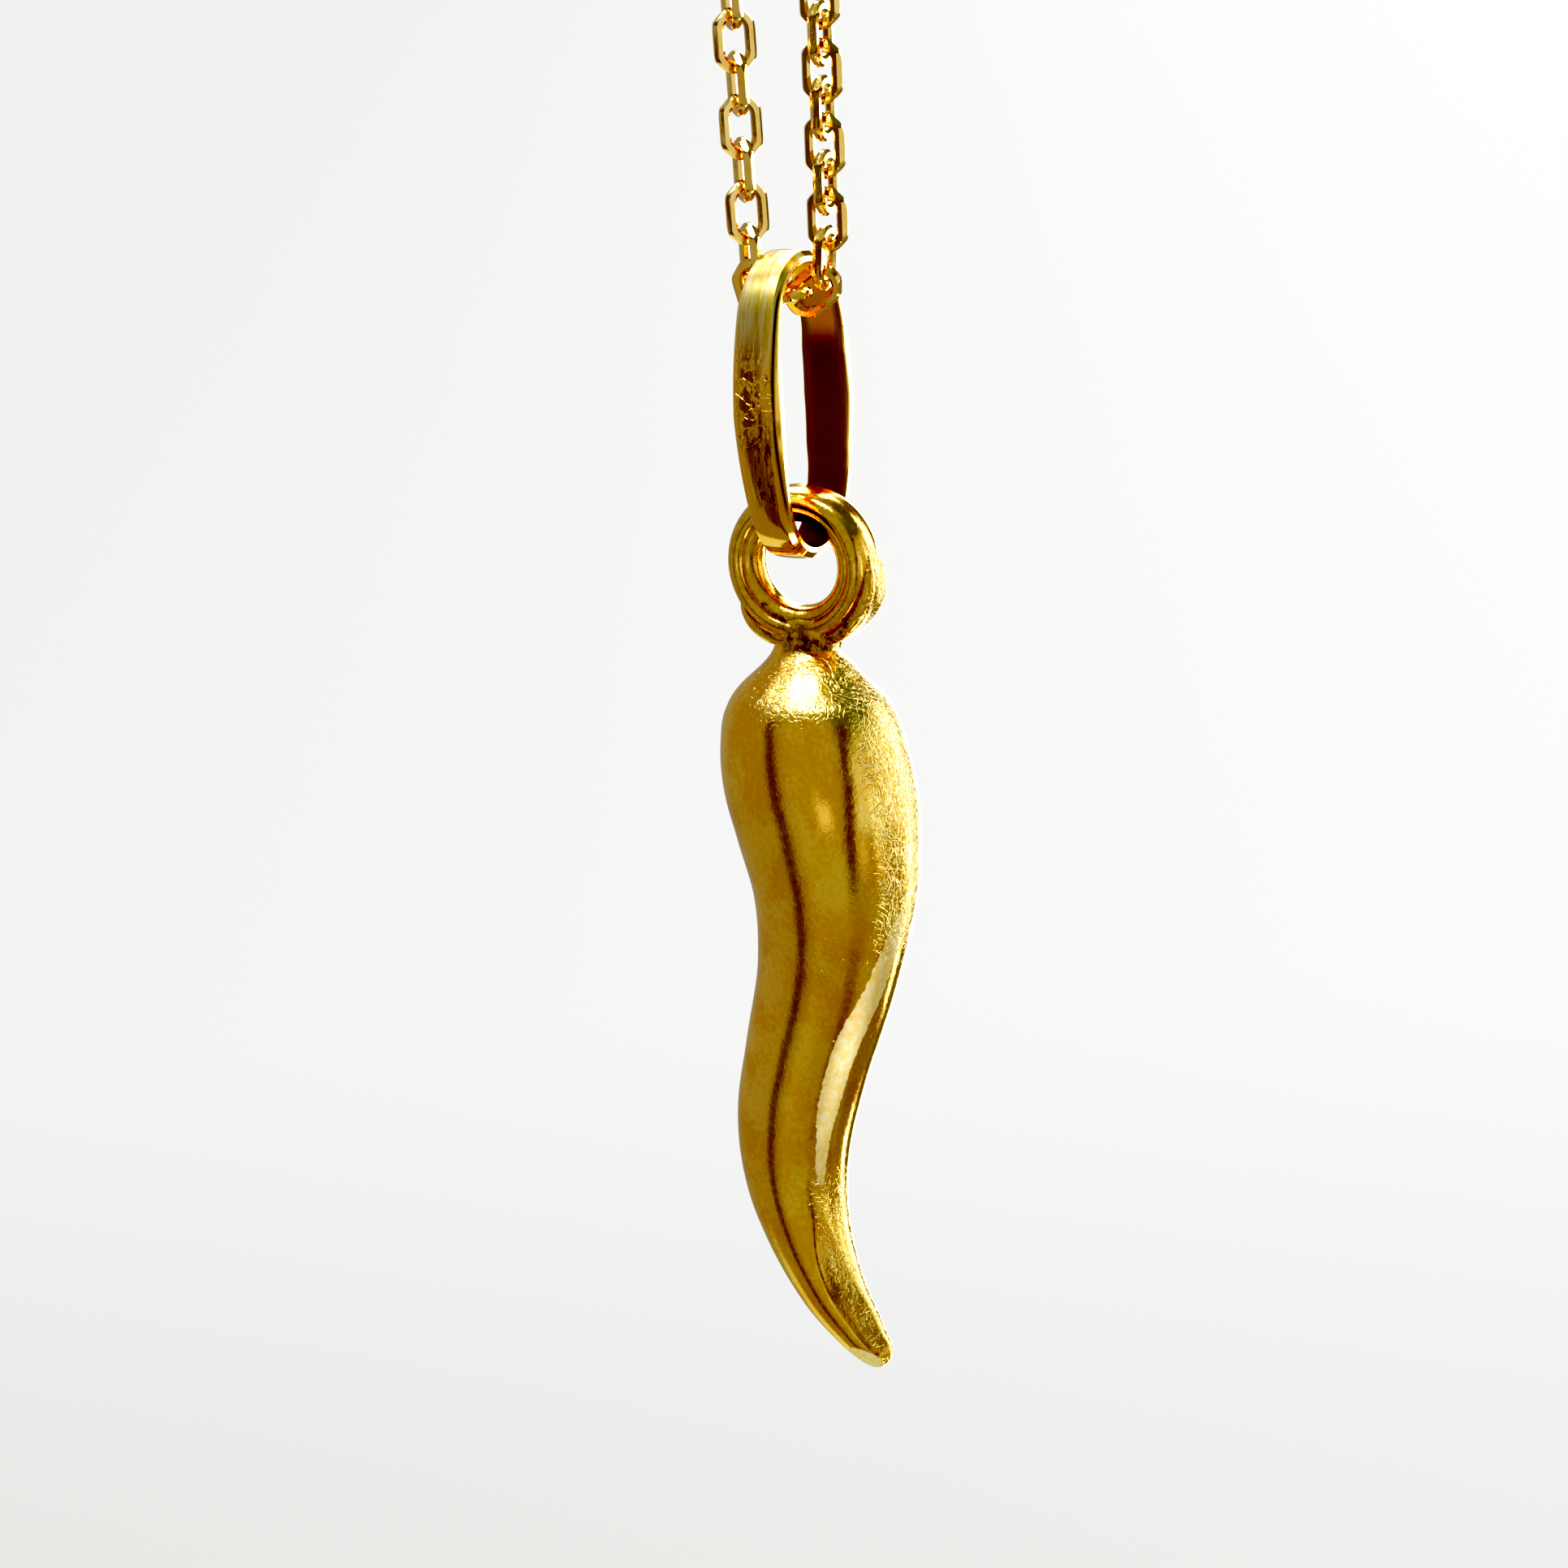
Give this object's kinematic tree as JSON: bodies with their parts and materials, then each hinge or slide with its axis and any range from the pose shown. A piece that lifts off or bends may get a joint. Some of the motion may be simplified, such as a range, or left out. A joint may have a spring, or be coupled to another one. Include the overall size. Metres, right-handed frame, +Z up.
{
  "type": "horn pendant on a cable chain",
  "caption": "Curved gold horn charm with a ring, hung by an oval flat-band bail on a fine cable chain closed by a spring ring clasp.",
  "frame": {"origin": "inside top of the chain's loop, where it hangs over a hook or a finger", "axes": "+Z up, the horn's front faces -Y, +X to the right seen from the front"},
  "size_m": [0.0116, 0.005, 0.2338],
  "materials": {
    "horn_gold": "satin gold, finely scratched",
    "bail_gold": "polished gold, brushed lengthwise",
    "chain_gold": "bright diamond-cut gold",
    "clasp_gold": "polished gold"
  },
  "bodies": {
    "chain": {"chain_left": "chain_gold", "chain_right": "chain_gold", "clasp": "clasp_gold", "end_ring": "clasp_gold", "link_left_1": "chain_gold", "link_left_2": "chain_gold", "link_left_3": "chain_gold", "link_left_4": "chain_gold", "link_left_5": "chain_gold", "link_left_6": "chain_gold", "link_left_7": "chain_gold", "link_left_8": "chain_gold", "link_left_9": "chain_gold", "link_left_10": "chain_gold", "link_left_11": "chain_gold", "link_left_12": "chain_gold", "link_left_13": "chain_gold", "link_left_14": "chain_gold", "link_left_15": "chain_gold", "link_left_16": "chain_gold", "link_right_1": "chain_gold", "link_right_2": "chain_gold", "link_right_3": "chain_gold", "link_right_4": "chain_gold", "link_right_5": "chain_gold", "link_right_6": "chain_gold", "link_right_7": "chain_gold", "link_right_8": "chain_gold", "link_right_9": "chain_gold", "link_right_10": "chain_gold", "link_right_11": "chain_gold", "link_right_12": "chain_gold", "link_right_13": "chain_gold", "link_right_14": "chain_gold", "link_right_15": "chain_gold", "link_right_16": "chain_gold"},
    "bail": {"bail": "bail_gold"},
    "horn": {"horn": "horn_gold"}
  },
  "joints": [
    {"name": "bail_swing", "type": "hinge", "parent": "chain", "child": "bail", "pos_m": [0, 0, -0.20622], "axis": [1, 0, 0], "range_deg": [-85, 85]},
    {"name": "horn_swing", "type": "hinge", "parent": "bail", "child": "horn", "pos_m": [0, 0, -0.2121], "axis": [0, 1, 0], "range_deg": [-90, 90]}
  ]
}
